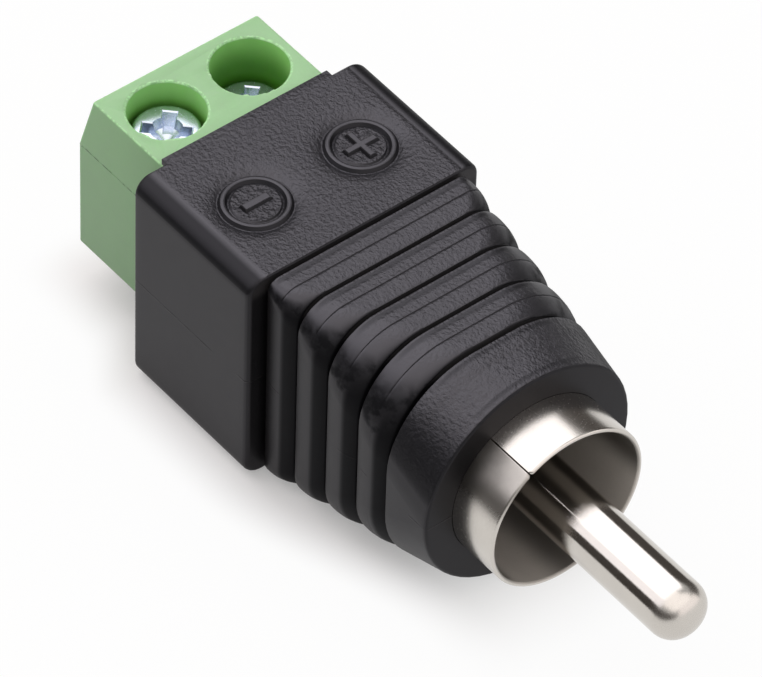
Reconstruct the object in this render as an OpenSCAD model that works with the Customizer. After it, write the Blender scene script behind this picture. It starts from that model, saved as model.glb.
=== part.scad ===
// Phono plug with a two-way screw terminal block, in millimetres.
// The plug axis runs along +X towards the tip of the pin, and +Z is up.

/* [Housing] */
// Width of the rear box
box_w = 14.1; // [13:0.1:17]
// Height of the housing
box_h = 13.2; // [12.4:0.1:16]
// Radius of the box's long edges
box_edge_r = 0.9; // [0.6:0.1:2]
// Radius of the edges round the box's two ends
box_end_r = 0.3; // [0.2:0.05:0.8]
// Distance from the rear face to the middle of the first groove
first_groove = 9.1; // [8:0.1:12]
// Length of the tongue that overhangs the block's top
tongue_len = 0.37; // [0.2:0.01:1]

/* [Grip] */
// Number of ribs
rib_count = 4; // [2:1:6]
// Distance from one groove to the next
rib_pitch = 2.34; // [1.8:0.02:3]
// Width across the flat sides of the ribs
rib_w = 12.5; // [11.6:0.1:13.6]
// Corner radius of the grip at the first groove
rib_corner_r = 0.6; // [0.5:0.1:1.2]
// Growth of the corner radius from one groove to the next
rib_corner_step = 1.1; // [0.4:0.1:1.1]
// How far a rib's sides fall away towards its front
rib_side_fall = 0.25; // [0.15:0.05:0.6]
// How far a rib's top and bottom fall away towards its front
rib_top_fall = 0.12; // [0.05:0.01:0.2]
// Width of a groove
groove_w = 0.3; // [0.2:0.05:0.5]
// Depth of a groove in the top and bottom
groove_depth = 0.6; // [0.3:0.05:0.8]
// Depth of a groove in the sides
groove_side_depth = 0.75; // [0.65:0.05:0.9]

/* [Nose] */
// Diameter of the round front face
nose_d = 12.5; // [11.4:0.1:13]
// Length of the nose in front of the last groove
nose_len = 3.0; // [2:0.1:6]
// Size of the broken edge round the front face
nose_edge = 0.2; // [0.1:0.05:0.5]

/* [Terminal block] */
// Distance between the two poles
pole_pitch = 5.08; // [5:0.01:5.3]
// Width of the block
block_w = 10.12; // [9.9:0.02:11]
// Height of the block
block_h = 10.47; // [10.3:0.05:10.6]
// Height of the block's underside above the housing's underside
block_lift = 2.3; // [2.0:0.05:2.4]
// How far the block's top stands out behind the housing
block_reach = 5.81; // [5.6:0.05:8]
// How much further back the lower part of its rear face stands
block_foot = 1.14; // [0.5:0.02:2]
// Height of the upright part of the rear face
block_knee = 6.8; // [6.6:0.1:8]
// Length of the tenon that enters the housing
tenon_len = 2.4; // [1.5:0.1:4]
// Step from the block's top down to the tenon's top
tenon_step = 0.8; // [0.5:0.05:1.5]
// Thickness of the block's floor under the clamps
block_floor = 1.05; // [0.8:0.05:1.3]
// Diameter of a screw well
well_d = 3.97; // [3.8:0.01:4.3]
// Distance from the top's rear edge to the wells' middle
well_back = 2.61; // [2.4:0.01:3.2]
// Width of a wire entry
entry_w = 3.3; // [2.4:0.1:3.5]
// Height of a wire entry
entry_h = 3.2; // [2.4:0.1:3.5]
// Size of the broken edge round a wire entry
entry_edge = 0.35; // [0.1:0.05:0.5]

/* [Clamps] */
// Width of a clamp body
clamp_w = 3.6; // [3.4:0.05:4]
// Length of a clamp body along the plug
clamp_len = 4.6; // [4.4:0.1:5]
// Height of a clamp body
clamp_h = 5.35; // [5:0.05:5.6]
// Sheet thickness of the clamp body's foot and wall
clamp_t = 0.8; // [0.5:0.05:1]
// Thickness of the threaded plate
thread_plate_t = 1.0; // [0.8:0.05:1.4]
// Height of a clamp's solder blade
blade_h = 1.6; // [1:0.1:2]
// Thickness of a clamp's solder blade
blade_t = 0.6; // [0.4:0.05:0.8]
// How far the solder blades reach into the housing
blade_reach = 8.0; // [5:0.1:10]
// Width of a wire guard
guard_w = 3.2; // [2.8:0.05:3.3]
// Length of a wire guard along the plug
guard_len = 2.9; // [2.4:0.05:2.95]
// Thickness of a wire guard
guard_t = 0.4; // [0.3:0.05:0.6]
// Height of the guard's collar and of its turned-up lip
guard_collar_h = 0.5; // [0.3:0.05:0.6]
// Wall thickness of the guard's collar
guard_collar_t = 0.35; // [0.2:0.05:0.4]
// Thickness of the guard's turned-up lip
guard_lip_t = 0.3; // [0.2:0.05:0.35]
// Radius of the bends of a clamp body
clamp_bend_r = 0.3; // [0.1:0.05:0.4]

/* [Screws] */
// Diameter of the thread
thread_d = 2.5; // [2:0.1:2.6]
// Diameter of the head
head_d = 3.5; // [3.2:0.05:3.6]
// Height of the head
head_h = 1.2; // [1:0.05:1.4]
// Size of the broken edge round the head
head_edge = 0.2; // [0.05:0.05:0.3]
// Step from the thread in to the dog point
dog_step = 0.25; // [0.15:0.05:0.35]
// Length of the cone between the thread and the dog point
dog_taper = 0.15; // [0.1:0.05:0.3]
// Length of the arms of the cross recess, from end to end
recess_len = 2.52; // [2:0.02:2.8]
// Width of the arms of the cross recess
recess_w = 0.65; // [0.4:0.05:0.8]
// Depth of the cross recess
recess_depth = 0.75; // [0.4:0.05:0.8]
// Depth of the negative screw's head below the block's top
negative_depth = 1.3; // [0.45:0.01:2.7]
// Depth of the positive screw's head below the block's top
positive_depth = 2.64; // [0.45:0.01:2.7]

/* [Plug] */
// Outer diameter of the ground shell
shell_d = 9.24; // [8.8:0.02:9.6]
// Wall thickness of the ground shell
shell_t = 0.26; // [0.2:0.02:0.4]
// Length of the ground shell
shell_len = 12.0; // [10:0.1:13]
// How far the shell stands out of the nose
shell_reach = 2.9; // [2:0.1:5]
// Width of the seam where the rolled shell meets
seam_w = 0.08; // [0.04:0.01:0.2]
// Angle of the seam, from the +Y side up
seam_angle = 122; // [20:1:160]
// Length of the shell's solder tab
tab_len = 6.5; // [3:0.1:8]
// Width of the shell's solder tab
tab_w = 2.0; // [1.6:0.1:2.4]
// Diameter of the pin
pin_d = 3.18; // [3:0.01:3.3]
// How far the pin reaches past the shell's rim
pin_reach = 9.2; // [7:0.1:11]
// Diameter of the pin's neck inside the insulator
pin_neck_d = 2.6; // [2:0.05:2.8]
// Diameter of the pin's collar behind the insulator
pin_collar_d = 4.0; // [3.4:0.1:5]
// Length of that collar
pin_collar_len = 0.8; // [0.4:0.1:1.5]
// Diameter of the pin's solder tail
pin_tail_d = 1.56; // [1.2:0.02:1.6]
// Length of the solder tail
pin_tail_len = 7.7; // [5:0.1:8]
// Length of the insulator
insulator_len = 6.2; // [4:0.1:8]

/* [Fits] */
// Clearance between a piece and the seat it is pushed into
seat_gap = 0.05; // [0.02:0.01:0.1]
// Radial clearance of the turned plug pieces in each other
plug_gap = 0.02; // [0.01:0.01:0.05]
// Radial clearance of a screw in its threaded plate
thread_gap = 0.05; // [0.02:0.01:0.1]
// Gap between a solder blade and the tail or tab it is soldered to
solder_gap = 0.04; // [0.02:0.01:0.1]
// Gap left under the guard and under the screw head when clamped
clamp_gap = 0.08; // [0.05:0.01:0.2]

/* [Hidden] */
$fn = 96;

// Small overlap that makes cuts run clean through
cut = 0.5;
// Number of steps round each corner of the lofted grip
corner_steps = 10;
// How far the grip's first section reaches back into the box
grip_root = 0.4;
// Smallest corner radius on a groove's floor
groove_corner_r = 0.4;
// Share of a rib's fall that is reached halfway down its front half
rib_mid_fall = 0.4;
// Flat left between the four arcs of a round section
arc_flat = 0.05;
// How deep the bore of the guard's collar is sunk into its plate
collar_sink = 0.1;

// Places along the plug, measured from the housing's rear face
axis_z = box_h / 2;
last_groove = first_groove + rib_count * rib_pitch;
nose_x = last_groove + groove_w / 2 + nose_len;
rim_x = nose_x + shell_reach;
shell_back_x = rim_x - shell_len;
insulator_x = shell_back_x + insulator_len;
tip_x = rim_x + pin_reach;
foot_x = -block_reach - block_foot;
well_x = -block_reach + well_back;
// The whole plug is centred on the origin along X
rear_x = -(tip_x + foot_x) / 2;

// Heights
block_top = block_lift + block_h;
chamber_z = block_lift + block_floor;
clamp_z = chamber_z + seat_gap;
clamp_top = clamp_z + clamp_h;
foot_top = clamp_z + clamp_t;
plate_low = clamp_top - thread_plate_t;

// The clamp bodies are centred on the wells, apart from their front wall
clamp_x = well_x - clamp_len / 2 + clamp_t / 2;
chamber_x = clamp_x - seat_gap;
chamber_len = clamp_len + 2 * seat_gap;
chamber_w = clamp_w + 2 * seat_gap;

// A screw and its guard, measured from the underside of the head
dog_len = guard_collar_h;
dog_d = thread_d - 2 * dog_step;
clamped_tip_z = foot_top + clamp_gap + guard_t + clamp_gap / 2;
screw_len = clamp_top + clamp_gap - clamped_tip_z;

// Radii of the plug
shell_r = shell_d / 2;
shell_bore_r = shell_r - shell_t;
pin_r = pin_d / 2;
pin_tail_r = pin_tail_d / 2;
bore_r = shell_r + plug_gap;
cavity_r = shell_bore_r - plug_gap;

// Side faces of the two solder blades that meet the tail and the tab
tab_face_y = -sqrt(pow(shell_bore_r, 2) - pow(blade_h / 2, 2)) + solder_gap;
tail_face_y = pin_tail_r + solder_gap;

// Moves a piece from the housing's rear face to its place in the frame
module place() {
    translate([rear_x, 0, 0]) children();
}

// Bar along X with rounded long edges, centred on the plug axis
module bar(half_w, half_h, r, x_from, x_to) {
    len = x_to - x_from;
    translate([x_from, 0, axis_z]) {
        translate([0, -half_w, -half_h + r]) cube([len, 2 * half_w, 2 * (half_h - r)]);
        translate([0, -half_w + r, -half_h]) cube([len, 2 * (half_w - r), 2 * half_h]);
        for (sy = [-1, 1], sz = [-1, 1])
            translate([0, sy * (half_w - r), sz * (half_h - r)])
                rotate([0, 90, 0]) cylinder(r = r, h = len);
    }
}

// Cylinder along X on the plug axis
module rod(r, x_from, x_to) {
    translate([x_from, 0, axis_z]) rotate([0, 90, 0]) cylinder(r = r, h = x_to - x_from);
}

// Rectangle with rounded corners
module round_rect(w, h, r) {
    translate([r, 0]) square([w - 2 * r, h]);
    translate([0, r]) square([w, h - 2 * r]);
    for (x = [r, w - r], y = [r, h - r])
        translate([x, y]) circle(r = r);
}

// Middle of groove number i, counted from the rear
function groove_x(i) = first_groove + i * rib_pitch;
// Corner radius of the grip, which grows steadily along the plug
function corner_r(x) = rib_corner_r + (x - first_groove) / rib_pitch * rib_corner_step;

// Rear box: one rounded section along each axis, crossed
module box_body() {
    len = first_groove - groove_w / 2;
    intersection() {
        bar(box_w / 2, box_h / 2, box_edge_r, 0, len);
        translate([0, -box_w / 2, 0])
            linear_extrude(box_h) round_rect(len, box_w, box_end_r);
        translate([0, box_w / 2, 0])
            rotate([90, 0, 0]) linear_extrude(box_w) round_rect(len, box_h, box_end_r / 2);
    }
    translate([-tongue_len, -block_w / 2, block_top + seat_gap])
        cube([tongue_len + box_end_r, block_w, box_h - block_top - seat_gap]);
}

// Sections of the grip as [x, half width, half height, corner radius].
// A groove is two equal sections on its floor.
function groove_stations(i) = [
    for (side = [-1, 1]) [
        groove_x(i) + side * (groove_w / 2 + (i == 0 && side < 0 ? grip_root : 0)),
        rib_w / 2 - groove_side_depth,
        box_h / 2 - groove_depth,
        max(groove_corner_r, corner_r(groove_x(i)) - groove_depth)
    ]
];

// A rib has a flat rear half, then a front half that falls away in a curve
function rib_stations(i) =
    let (back = groove_x(i) + groove_w / 2,
         front = groove_x(i + 1) - groove_w / 2,
         crease = (back + front) / 2)
    [
        for (s = [[back, 0], [crease, 0], [(crease + front) / 2, rib_mid_fall], [front, 1]]) [
            s[0],
            rib_w / 2 - s[1] * rib_side_fall,
            box_h / 2 - s[1] * rib_top_fall,
            corner_r(s[0])
        ]
    ];

// The nose runs from the last rib's section to a circle
function nose_stations() =
    let (back = last_groove + groove_w / 2, r = nose_d / 2)
    [
        [back, rib_w / 2, box_h / 2 - rib_top_fall, corner_r(back)],
        [nose_x - nose_edge, r, r, r - arc_flat],
        [nose_x, r - nose_edge, r - nose_edge, r - nose_edge - arc_flat]
    ];

// Rounded rectangle across the plug, as points that run up from the +Y side
function ring(st) = [
    for (c = [0 : 3], k = [0 : corner_steps])
        let (a = 90 * (c + k / corner_steps),
             sy = c == 0 || c == 3 ? 1 : -1,
             sz = c < 2 ? 1 : -1)
        [st[0],
         sy * (st[1] - st[3]) + st[3] * cos(a),
         axis_z + sz * (st[2] - st[3]) + st[3] * sin(a)]
];

// Solid skinned through a list of sections
module loft(stations) {
    n = 4 * (corner_steps + 1);
    last = len(stations) - 1;
    polyhedron(
        points = [for (st = stations) each ring(st)],
        faces = concat(
            [[for (j = [0 : n - 1]) j]],
            [[for (j = [n - 1 : -1 : 0]) last * n + j]],
            [for (i = [0 : last - 1], j = [0 : n - 1], half = [0, 1])
                let (p = i * n + j, q = i * n + (j + 1) % n)
                half == 0 ? [p, p + n, q + n] : [p, q + n, q]]
        )
    );
}

// Ribs, grooves and nose in one skin
module grip() {
    loft(concat(
        [for (i = [0 : rib_count - 1]) each concat(groove_stations(i), rib_stations(i))],
        groove_stations(rib_count),
        nose_stations()
    ));
}

// Black moulded housing: box, ribs and nose, hollow from end to end
module housing() {
    pocket_w = block_w + 2 * seat_gap;
    pocket_h = block_h - tenon_step + 2 * seat_gap;
    slot_h = tab_w + 4 * seat_gap;
    color("#262628") place() difference() {
        union() {
            box_body();
            grip();
        }
        // Pocket for the block's tenon
        translate([-cut, -pocket_w / 2, block_lift - seat_gap])
            cube([tenon_len + seat_gap + cut, pocket_w, pocket_h]);
        // Wiring space, with a slot for the shell's tab
        rod(cavity_r, tenon_len, shell_back_x + cut);
        translate([tenon_len, -bore_r, axis_z - slot_h / 2])
            cube([shell_back_x - tenon_len + cut, bore_r, slot_h]);
        // Bore that the plug is pressed into
        rod(bore_r, shell_back_x, nose_x + cut);
    }
}

// Side outline of the terminal block, with its stepped tenon
module block_outline() {
    polygon([
        [foot_x, block_lift],
        [tenon_len, block_lift],
        [tenon_len, block_top - tenon_step],
        [-seat_gap, block_top - tenon_step],
        [-seat_gap, block_top],
        [-block_reach, block_top],
        [foot_x, block_lift + block_knee]
    ]);
}

// Space for one clamp with its well, wire entry and blade slot
module pole_space(y, blade_y) {
    translate([chamber_x, y - chamber_w / 2, chamber_z])
        cube([chamber_len, chamber_w, clamp_h + 2 * seat_gap]);
    translate([well_x, y, clamp_top - cut])
        cylinder(d = well_d, h = block_top - clamp_top + 2 * cut);
    translate([foot_x - cut, y - entry_w / 2, foot_top])
        cube([chamber_x - foot_x + 2 * cut, entry_w, entry_h]);
    // Broken edge round the entry
    for (k = [0 : 1])
        translate([foot_x, y, foot_top + entry_h / 2]) rotate([k * 90, 0, 0])
            translate([0, 0, -(k == 0 ? entry_h : entry_w) / 2])
                linear_extrude(k == 0 ? entry_h : entry_w) entry_chamfer(k == 0 ? entry_w : entry_h);
    translate([chamber_x + chamber_len - cut, blade_y - seat_gap, axis_z - blade_h / 2 - seat_gap])
        cube([tenon_len - chamber_x - chamber_len + 2 * cut, blade_t + 2 * seat_gap, blade_h + 2 * seat_gap]);
}

// Flared mouth of a wire entry, seen along the entry's other side
module entry_chamfer(w) {
    polygon([
        [-cut, -w / 2 - entry_edge - cut], [-cut, w / 2 + entry_edge + cut],
        [entry_edge, w / 2], [entry_edge, -w / 2]
    ]);
}

// Green terminal block with its two wells
module terminal_housing() {
    color("#8fc487") place() difference() {
        translate([0, block_w / 2, 0]) rotate([90, 0, 0]) linear_extrude(block_w) block_outline();
        pole_space(-pole_pitch / 2, tab_face_y);
        pole_space(pole_pitch / 2, tail_face_y);
    }
}

// Bent clamp body: foot, front wall, threaded plate and solder blade
module clamp_body(y, blade_y) {
    wall_x = clamp_x + clamp_len - clamp_t;
    blade_low = axis_z - blade_h / 2;
    wall_low = min(y - clamp_w / 2, blade_y);
    wall_high = max(y + clamp_w / 2, blade_y + blade_t);
    difference() {
        translate([clamp_x, y + clamp_w / 2, clamp_z]) rotate([90, 0, 0]) linear_extrude(clamp_w)
            difference() {
                round_rect(clamp_len, clamp_h, clamp_bend_r);
                translate([-cut, clamp_t])
                    square([clamp_len - clamp_t + cut, clamp_h - clamp_t - thread_plate_t]);
            }
        translate([well_x, y, plate_low - cut])
            cylinder(r = thread_d / 2 + thread_gap, h = thread_plate_t + 2 * cut);
    }
    translate([wall_x, blade_y, blade_low]) cube([blade_reach - wall_x, blade_t, blade_h]);
    // Joins the blade to the wall where it lies beside it
    translate([wall_x, wall_low, blade_low]) cube([clamp_t, wall_high - wall_low, blade_h]);
}

module clamp_body_negative() {
    color("#c9c6bd") place() clamp_body(-pole_pitch / 2, tab_face_y);
}

module clamp_body_positive() {
    color("#c9c6bd") place() clamp_body(pole_pitch / 2, tail_face_y);
}

// Guard that the screw's tip carries: plate, collar and turned-up lip
module wire_guard(y, depth) {
    tip_z = block_top - depth - head_h - screw_len;
    plate_top = tip_z - clamp_gap / 2;
    collar_r = dog_d / 2 + thread_gap;
    translate([well_x, y, plate_top]) {
        translate([-guard_len / 2, -guard_w / 2, -guard_t]) cube([guard_len, guard_w, guard_t]);
        difference() {
            cylinder(r = collar_r + guard_collar_t, h = guard_collar_h);
            translate([0, 0, -collar_sink]) cylinder(r = collar_r, h = guard_collar_h + cut);
        }
        translate([-guard_len / 2, -guard_w / 2, -guard_t])
            cube([guard_lip_t, guard_w, guard_t + guard_collar_h]);
    }
}

module wire_guard_negative() {
    color("#b4b7ba") place() wire_guard(-pole_pitch / 2, negative_depth);
}

module wire_guard_positive() {
    color("#b4b7ba") place() wire_guard(pole_pitch / 2, positive_depth);
}

// Clamp screw with a cross recess and a dog point
module screw(y, depth) {
    head_r = head_d / 2;
    head_top = block_top - depth;
    dog_z = -head_h - screw_len + dog_len;
    translate([well_x, y, head_top]) difference() {
        rotate_extrude() polygon([
            [0, 0], [head_r - head_edge, 0], [head_r, -head_edge], [head_r, -head_h],
            [thread_d / 2, -head_h], [thread_d / 2, dog_z + dog_taper],
            [dog_d / 2, dog_z], [dog_d / 2, dog_z - dog_len],
            [0, dog_z - dog_len]
        ]);
        for (a = [0, 90]) rotate([0, 0, a + 45])
            translate([-recess_len / 2, -recess_w / 2, -recess_depth])
                cube([recess_len, recess_w, recess_depth + cut]);
    }
}

module screw_negative() {
    color("#aeb6c2") place() screw(-pole_pitch / 2, negative_depth);
}

module screw_positive() {
    color("#aeb6c2") place() screw(pole_pitch / 2, positive_depth);
}

// Turned pin: tail, collar, neck, shaft and round tip
module center_pin() {
    tail_x = shell_back_x - pin_collar_len - pin_tail_len;
    color("#d8d4cc") place() {
        rod(pin_tail_r, tail_x, shell_back_x - pin_collar_len);
        rod(pin_collar_d / 2, shell_back_x - pin_collar_len, shell_back_x);
        rod(pin_neck_d / 2, shell_back_x, insulator_x);
        rod(pin_r, insulator_x, tip_x - pin_r);
        translate([tip_x - pin_r, 0, axis_z]) sphere(r = pin_r);
    }
}

// Black insulating bush between the pin and the shell
module insulator() {
    color("#1b1b1d") place() difference() {
        rod(shell_bore_r - plug_gap, shell_back_x, insulator_x);
        rod(pin_neck_d / 2 + plug_gap, shell_back_x - cut, insulator_x + cut);
    }
}

// Rolled ground shell with its seam and solder tab
module ground_shell() {
    color("#d8d4cc") place() difference() {
        rod(shell_r, shell_back_x - tab_len, rim_x);
        rod(shell_bore_r, shell_back_x - tab_len - cut, rim_x + cut);
        // Everything behind the shell's rear edge goes, apart from the tab
        difference() {
            translate([shell_back_x - tab_len - cut, -shell_d, axis_z - shell_d])
                cube([tab_len + cut, 2 * shell_d, 2 * shell_d]);
            translate([shell_back_x - tab_len - 2 * cut, -shell_d - cut, axis_z - tab_w / 2])
                cube([tab_len + 4 * cut, shell_d + cut, tab_w]);
        }
        translate([shell_back_x - cut, 0, axis_z]) rotate([seam_angle, 0, 0])
            translate([0, 0, -seam_w / 2]) cube([shell_len + 2 * cut, shell_d, seam_w]);
    }
}

housing();
terminal_housing();
clamp_body_negative();
clamp_body_positive();
wire_guard_negative();
wire_guard_positive();
screw_negative();
screw_positive();
center_pin();
insulator();
ground_shell();
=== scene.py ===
"""Looks of a phono plug with a two-way screw terminal block, built round its packed solids."""

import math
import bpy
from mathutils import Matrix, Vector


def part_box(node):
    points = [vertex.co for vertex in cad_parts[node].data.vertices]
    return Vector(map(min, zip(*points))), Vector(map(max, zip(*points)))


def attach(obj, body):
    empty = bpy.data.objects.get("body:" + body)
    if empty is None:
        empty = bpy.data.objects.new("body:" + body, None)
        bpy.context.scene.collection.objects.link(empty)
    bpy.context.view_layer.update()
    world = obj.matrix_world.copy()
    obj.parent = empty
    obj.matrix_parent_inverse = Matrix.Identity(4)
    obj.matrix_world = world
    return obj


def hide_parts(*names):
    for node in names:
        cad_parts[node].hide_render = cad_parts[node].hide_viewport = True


bl_info = {
    "name": "Phono plug with screw terminals",
    "version": (1, 0, 0),
    "blender": (4, 5, 0),
    "location": "3D View > Sidebar > Phono plug",
    "description": "Builds the plug's housing, terminal block, clamps, shell, pin and stage",
    "category": "Add Mesh",
}

from contextlib import contextmanager
from types import SimpleNamespace

import bmesh
import bpy
import numpy as np
from bpy.props import FloatProperty, FloatVectorProperty, IntProperty, PointerProperty
from mathutils import Matrix, Vector

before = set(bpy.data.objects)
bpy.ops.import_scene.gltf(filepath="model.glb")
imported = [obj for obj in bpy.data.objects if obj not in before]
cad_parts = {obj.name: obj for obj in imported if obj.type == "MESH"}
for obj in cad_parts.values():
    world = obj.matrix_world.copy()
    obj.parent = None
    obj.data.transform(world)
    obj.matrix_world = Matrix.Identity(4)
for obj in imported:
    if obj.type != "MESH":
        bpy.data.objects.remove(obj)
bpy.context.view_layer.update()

# Meshes are built in millimetres from the middle of the housing's rear face and then put in place.
MM = 0.001
TONGUE = 0.37
HOUSING_LOW, HOUSING_HIGH = (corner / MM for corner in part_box("housing"))
BLOCK_LOW, BLOCK_HIGH = (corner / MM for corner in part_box("terminal_housing"))
REAR = HOUSING_LOW.x + TONGUE
AXIS_Z = (HOUSING_LOW.z + HOUSING_HIGH.z) / 2
TOP_Z = HOUSING_HIGH.z
POLES = ("negative", "positive")
SIDES = (-1, 1)
CORNERS = ((1, 1), (-1, 1), (-1, -1), (1, -1))
# Radius and height across the raised ring round a pole mark and the shallow dish that it stands in.
RING_SHAPE = (
    (1.22, 0.1), (1.22, -0.13), (1.30, -0.20), (1.38, -0.19), (1.44, -0.11), (1.50, -0.03),
    (1.56, -0.004), (1.66, -0.004), (1.72, -0.03), (1.78, -0.11), (1.84, -0.19), (1.91, -0.20),
    (2.02, -0.15), (2.2, -0.09), (2.45, -0.03), (2.7, 0.0), (2.75, 0.1),
)
# Half lengths of the bars of the negative and of the positive pole's mark.
BARS = {-1: ((0.14, 0.7),), 1: ((0.1, 0.85), (0.85, 0.1))}
# Places inside the terminal block: each clamp's chamber, the wells' floor and the blades' slots.
CHAMBER_X, CHAMBER_HALF, CHAMBER_Z = (-5.15, -0.45), 1.85, (3.35, 8.8)
WELL_FLOOR = 8.25
BLADE_Y, BLADE_Z = {-1: (-4.246, -3.646), 1: (0.82, 1.42)}, (5.75, 7.45)


def length(name, description, mm):
    """A size for the sidebar, written here in millimetres."""
    return FloatProperty(name=name, description=description, default=mm * MM, unit="LENGTH")


def tint(name, description, colour):
    """A colour for the sidebar."""
    return FloatVectorProperty(
        name=name, description=description, default=colour, subtype="COLOR", min=0, max=1
    )


def turn(name, description, degrees):
    """An angle for the sidebar, written here in degrees."""
    return FloatProperty(
        name=name, description=description, default=math.radians(degrees), subtype="ANGLE"
    )


class HousingSizes(bpy.types.PropertyGroup):
    """Sizes and colour of the black moulded housing"""

    width: length("Width", "Width of the rear box", HOUSING_HIGH.y - HOUSING_LOW.y)
    height: length("Height", "Height of the rear box", HOUSING_HIGH.z - HOUSING_LOW.z)
    edge: length("Edge radius", "Radius of the box's long edges", 0.9)
    end: length("End radius", "Radius of the upright edges at the box's ends", 0.3)
    end_top: length("End top radius", "Radius of the top and bottom edges at the box's ends", 0.15)
    groove_first: length("First groove", "Rear face to the middle of the first groove", 9.1)
    rib_pitch: length("Rib pitch", "Distance from one groove to the next", 2.34)
    rib_count: IntProperty(name="Ribs", description="Number of ribs", default=4, min=1)
    rib_width: length("Rib width", "Width across the ribs' flat sides", 12.5)
    rib_corner: length("Grip corner", "Corner radius of the grip at the first groove", 0.6)
    rib_corner_step: length("Corner step", "Growth of that radius from one groove to the next", 1.1)
    rib_side_fall: length("Side fall", "How far a rib's sides fall towards its front", 0.42)
    rib_side_rise: length("Side rise", "How far a rib's sides rise from its rear", 0.15)
    rib_top_fall: length("Top fall", "How far a rib's top falls towards its front", 0.12)
    crease: length("Crease", "Height of the fine step across each rib", 0.02)
    groove_width: length("Groove width", "Width of a groove", 0.26)
    groove_depth: length("Groove depth", "Depth of a groove in the top", 0.6)
    groove_side: length("Groove side depth", "Depth of a groove in the sides", 0.75)
    soft_edge: length("Soft edge", "Rounding of the ribs' edges", 0.05)
    nose_width: length("Nose diameter", "Diameter of the round front face", 12.5)
    nose_length: length("Nose length", "Length of the nose in front of the last groove", 3.0)
    nose_edge: length("Nose edge", "Rounding of the front face's edge", 0.2)
    mark_back: length("Mark distance", "Rear face to the middle of the pole marks", 4.63)
    mark_side: length("Mark offset", "Plug's middle to the middle of a pole mark", 3.2)
    mark_field: length("Field depth", "Depth of the field round a mark's bars", 0.13)
    colour: tint("Plastic", "Colour of the black plastic", (0.010, 0.0097, 0.012))
    # Painted light: the sides' warmer colour stands in for warm light thrown up from the floor.
    painted_warm_side: tint("Side plastic", "Colour of its smooth sides", (0.013, 0.0105, 0.0105))
    # Painted light: the grooves' lighter colour stands in for light that reaches into them.
    painted_groove_light: tint("Painted_groove_light", "Colour of the dust in the grooves", (0.085, 0.078, 0.078))


class BlockSizes(bpy.types.PropertyGroup):
    """Sizes and colour of the green terminal block"""

    pitch: length("Pole pitch", "Distance between the two poles", 5.08)
    reach: length("Reach", "How far the block's top stands out behind the housing", 5.81)
    knee: length("Knee height", "Height of the upright part of the rear face", 6.8)
    tenon: length("Tenon", "Length of the tenon inside the housing", 2.4)
    step: length("Tenon step", "Step from the block's top down to the tenon", 0.8)
    gap: length("Seat gap", "Clearance between the block and the housing", 0.05)
    ease: length("Eased edge", "Rounding of the block's edges", 0.14)
    well: length("Well diameter", "Diameter of a screw well", 3.97)
    well_back: length("Well distance", "Rear face to the middle of the wells", 3.2)
    lip: length("Well lip", "How far a well's rounded rim spreads", 0.08)
    entry_width: length("Entry width", "Width of a wire entry", 3.3)
    entry_height: length("Entry height", "Height of a wire entry", 3.2)
    entry_low: length("Entry floor", "Height of a wire entry's floor", 4.2)
    flare: length("Entry flare", "Flare of a wire entry's mouth", 0.35)
    colour: tint("Plastic", "Colour of the green plastic", (0.375, 0.62, 0.325))
    # Painted light and shade: a brighter green at the top of a well and a darker green deep down.
    wall: tint("Well plastic", "Colour of the green plastic at the top of a well", (0.36, 0.74, 0.22))
    deep: tint("Deep plastic", "Colour of the green plastic down in the wells", (0.11, 0.33, 0.03))


class ScrewSizes(bpy.types.PropertyGroup):
    """Sizes and colour of the clamp screws"""

    head: length("Head diameter", "Diameter of the head", 3.5)
    head_height: length("Head height", "Height of the head", 1.2)
    head_edge: length("Head edge", "Rounding of the head's edge", 0.2)
    thread: length("Thread diameter", "Outer diameter of the thread", 2.5)
    thread_depth: length("Thread depth", "Depth of the thread", 0.24)
    thread_pitch: length("Thread pitch", "Rise of the thread in one turn", 0.45)
    dog: length("Point diameter", "Diameter of the plain point", 2.0)
    dog_length: length("Point length", "Length of the plain point", 0.5)
    recess: length("Recess length", "Length of the cross recess's arms", 2.52)
    recess_width: length("Recess width", "Width of those arms at the top", 0.7)
    recess_deep: length("Recess depth", "Depth of the cross recess", 0.75)
    colour: tint("Zinc", "Colour of the zinc plating", (0.66, 0.72, 0.82))


class PlugSizes(bpy.types.PropertyGroup):
    """Sizes and colours of the pin, the ground shell, the insulator and the clamps"""

    shell: length("Shell diameter", "Outer diameter of the ground shell", 9.24)
    shell_wall: length("Shell wall", "Wall thickness of the ground shell", 0.26)
    shell_back: length("Shell back", "Rear face to the shell's rear edge", 12.51)
    shell_rim: length("Shell rim", "Rear face to the shell's rim", 24.51)
    seam: length("Seam", "Width of the gap where the rolled shell meets", 0.08)
    seam_place: turn("Seam angle", "Place of the seam, from the right side up", 122)
    tab: length("Tab length", "Length of the shell's solder tab", 6.5)
    tab_width: length("Tab width", "Width of the shell's solder tab", 2.0)
    pin: length("Pin diameter", "Diameter of the pin", 3.18)
    pin_tip: length("Pin tip", "Rear face to the pin's tip", 33.71)
    neck: length("Neck diameter", "Diameter of the pin inside the insulator", 2.6)
    neck_front: length("Neck front", "Rear face to the front of the insulator", 18.71)
    collar: length("Collar diameter", "Diameter of the collar behind the insulator", 4.0)
    collar_back: length("Collar back", "Rear face to the back of that collar", 11.71)
    tail: length("Tail diameter", "Diameter of the pin's solder tail", 1.56)
    tail_back: length("Tail back", "Rear face to the end of the solder tail", 4.01)
    nickel: tint("Nickel", "Colour of the nickel plating", (0.62, 0.585, 0.54))
    tin: tint("Tin", "Colour of the tinned clamps", (0.62, 0.61, 0.58))
    bush: tint("Insulator", "Colour of the insulator", (0.060, 0.055, 0.052))


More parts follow.
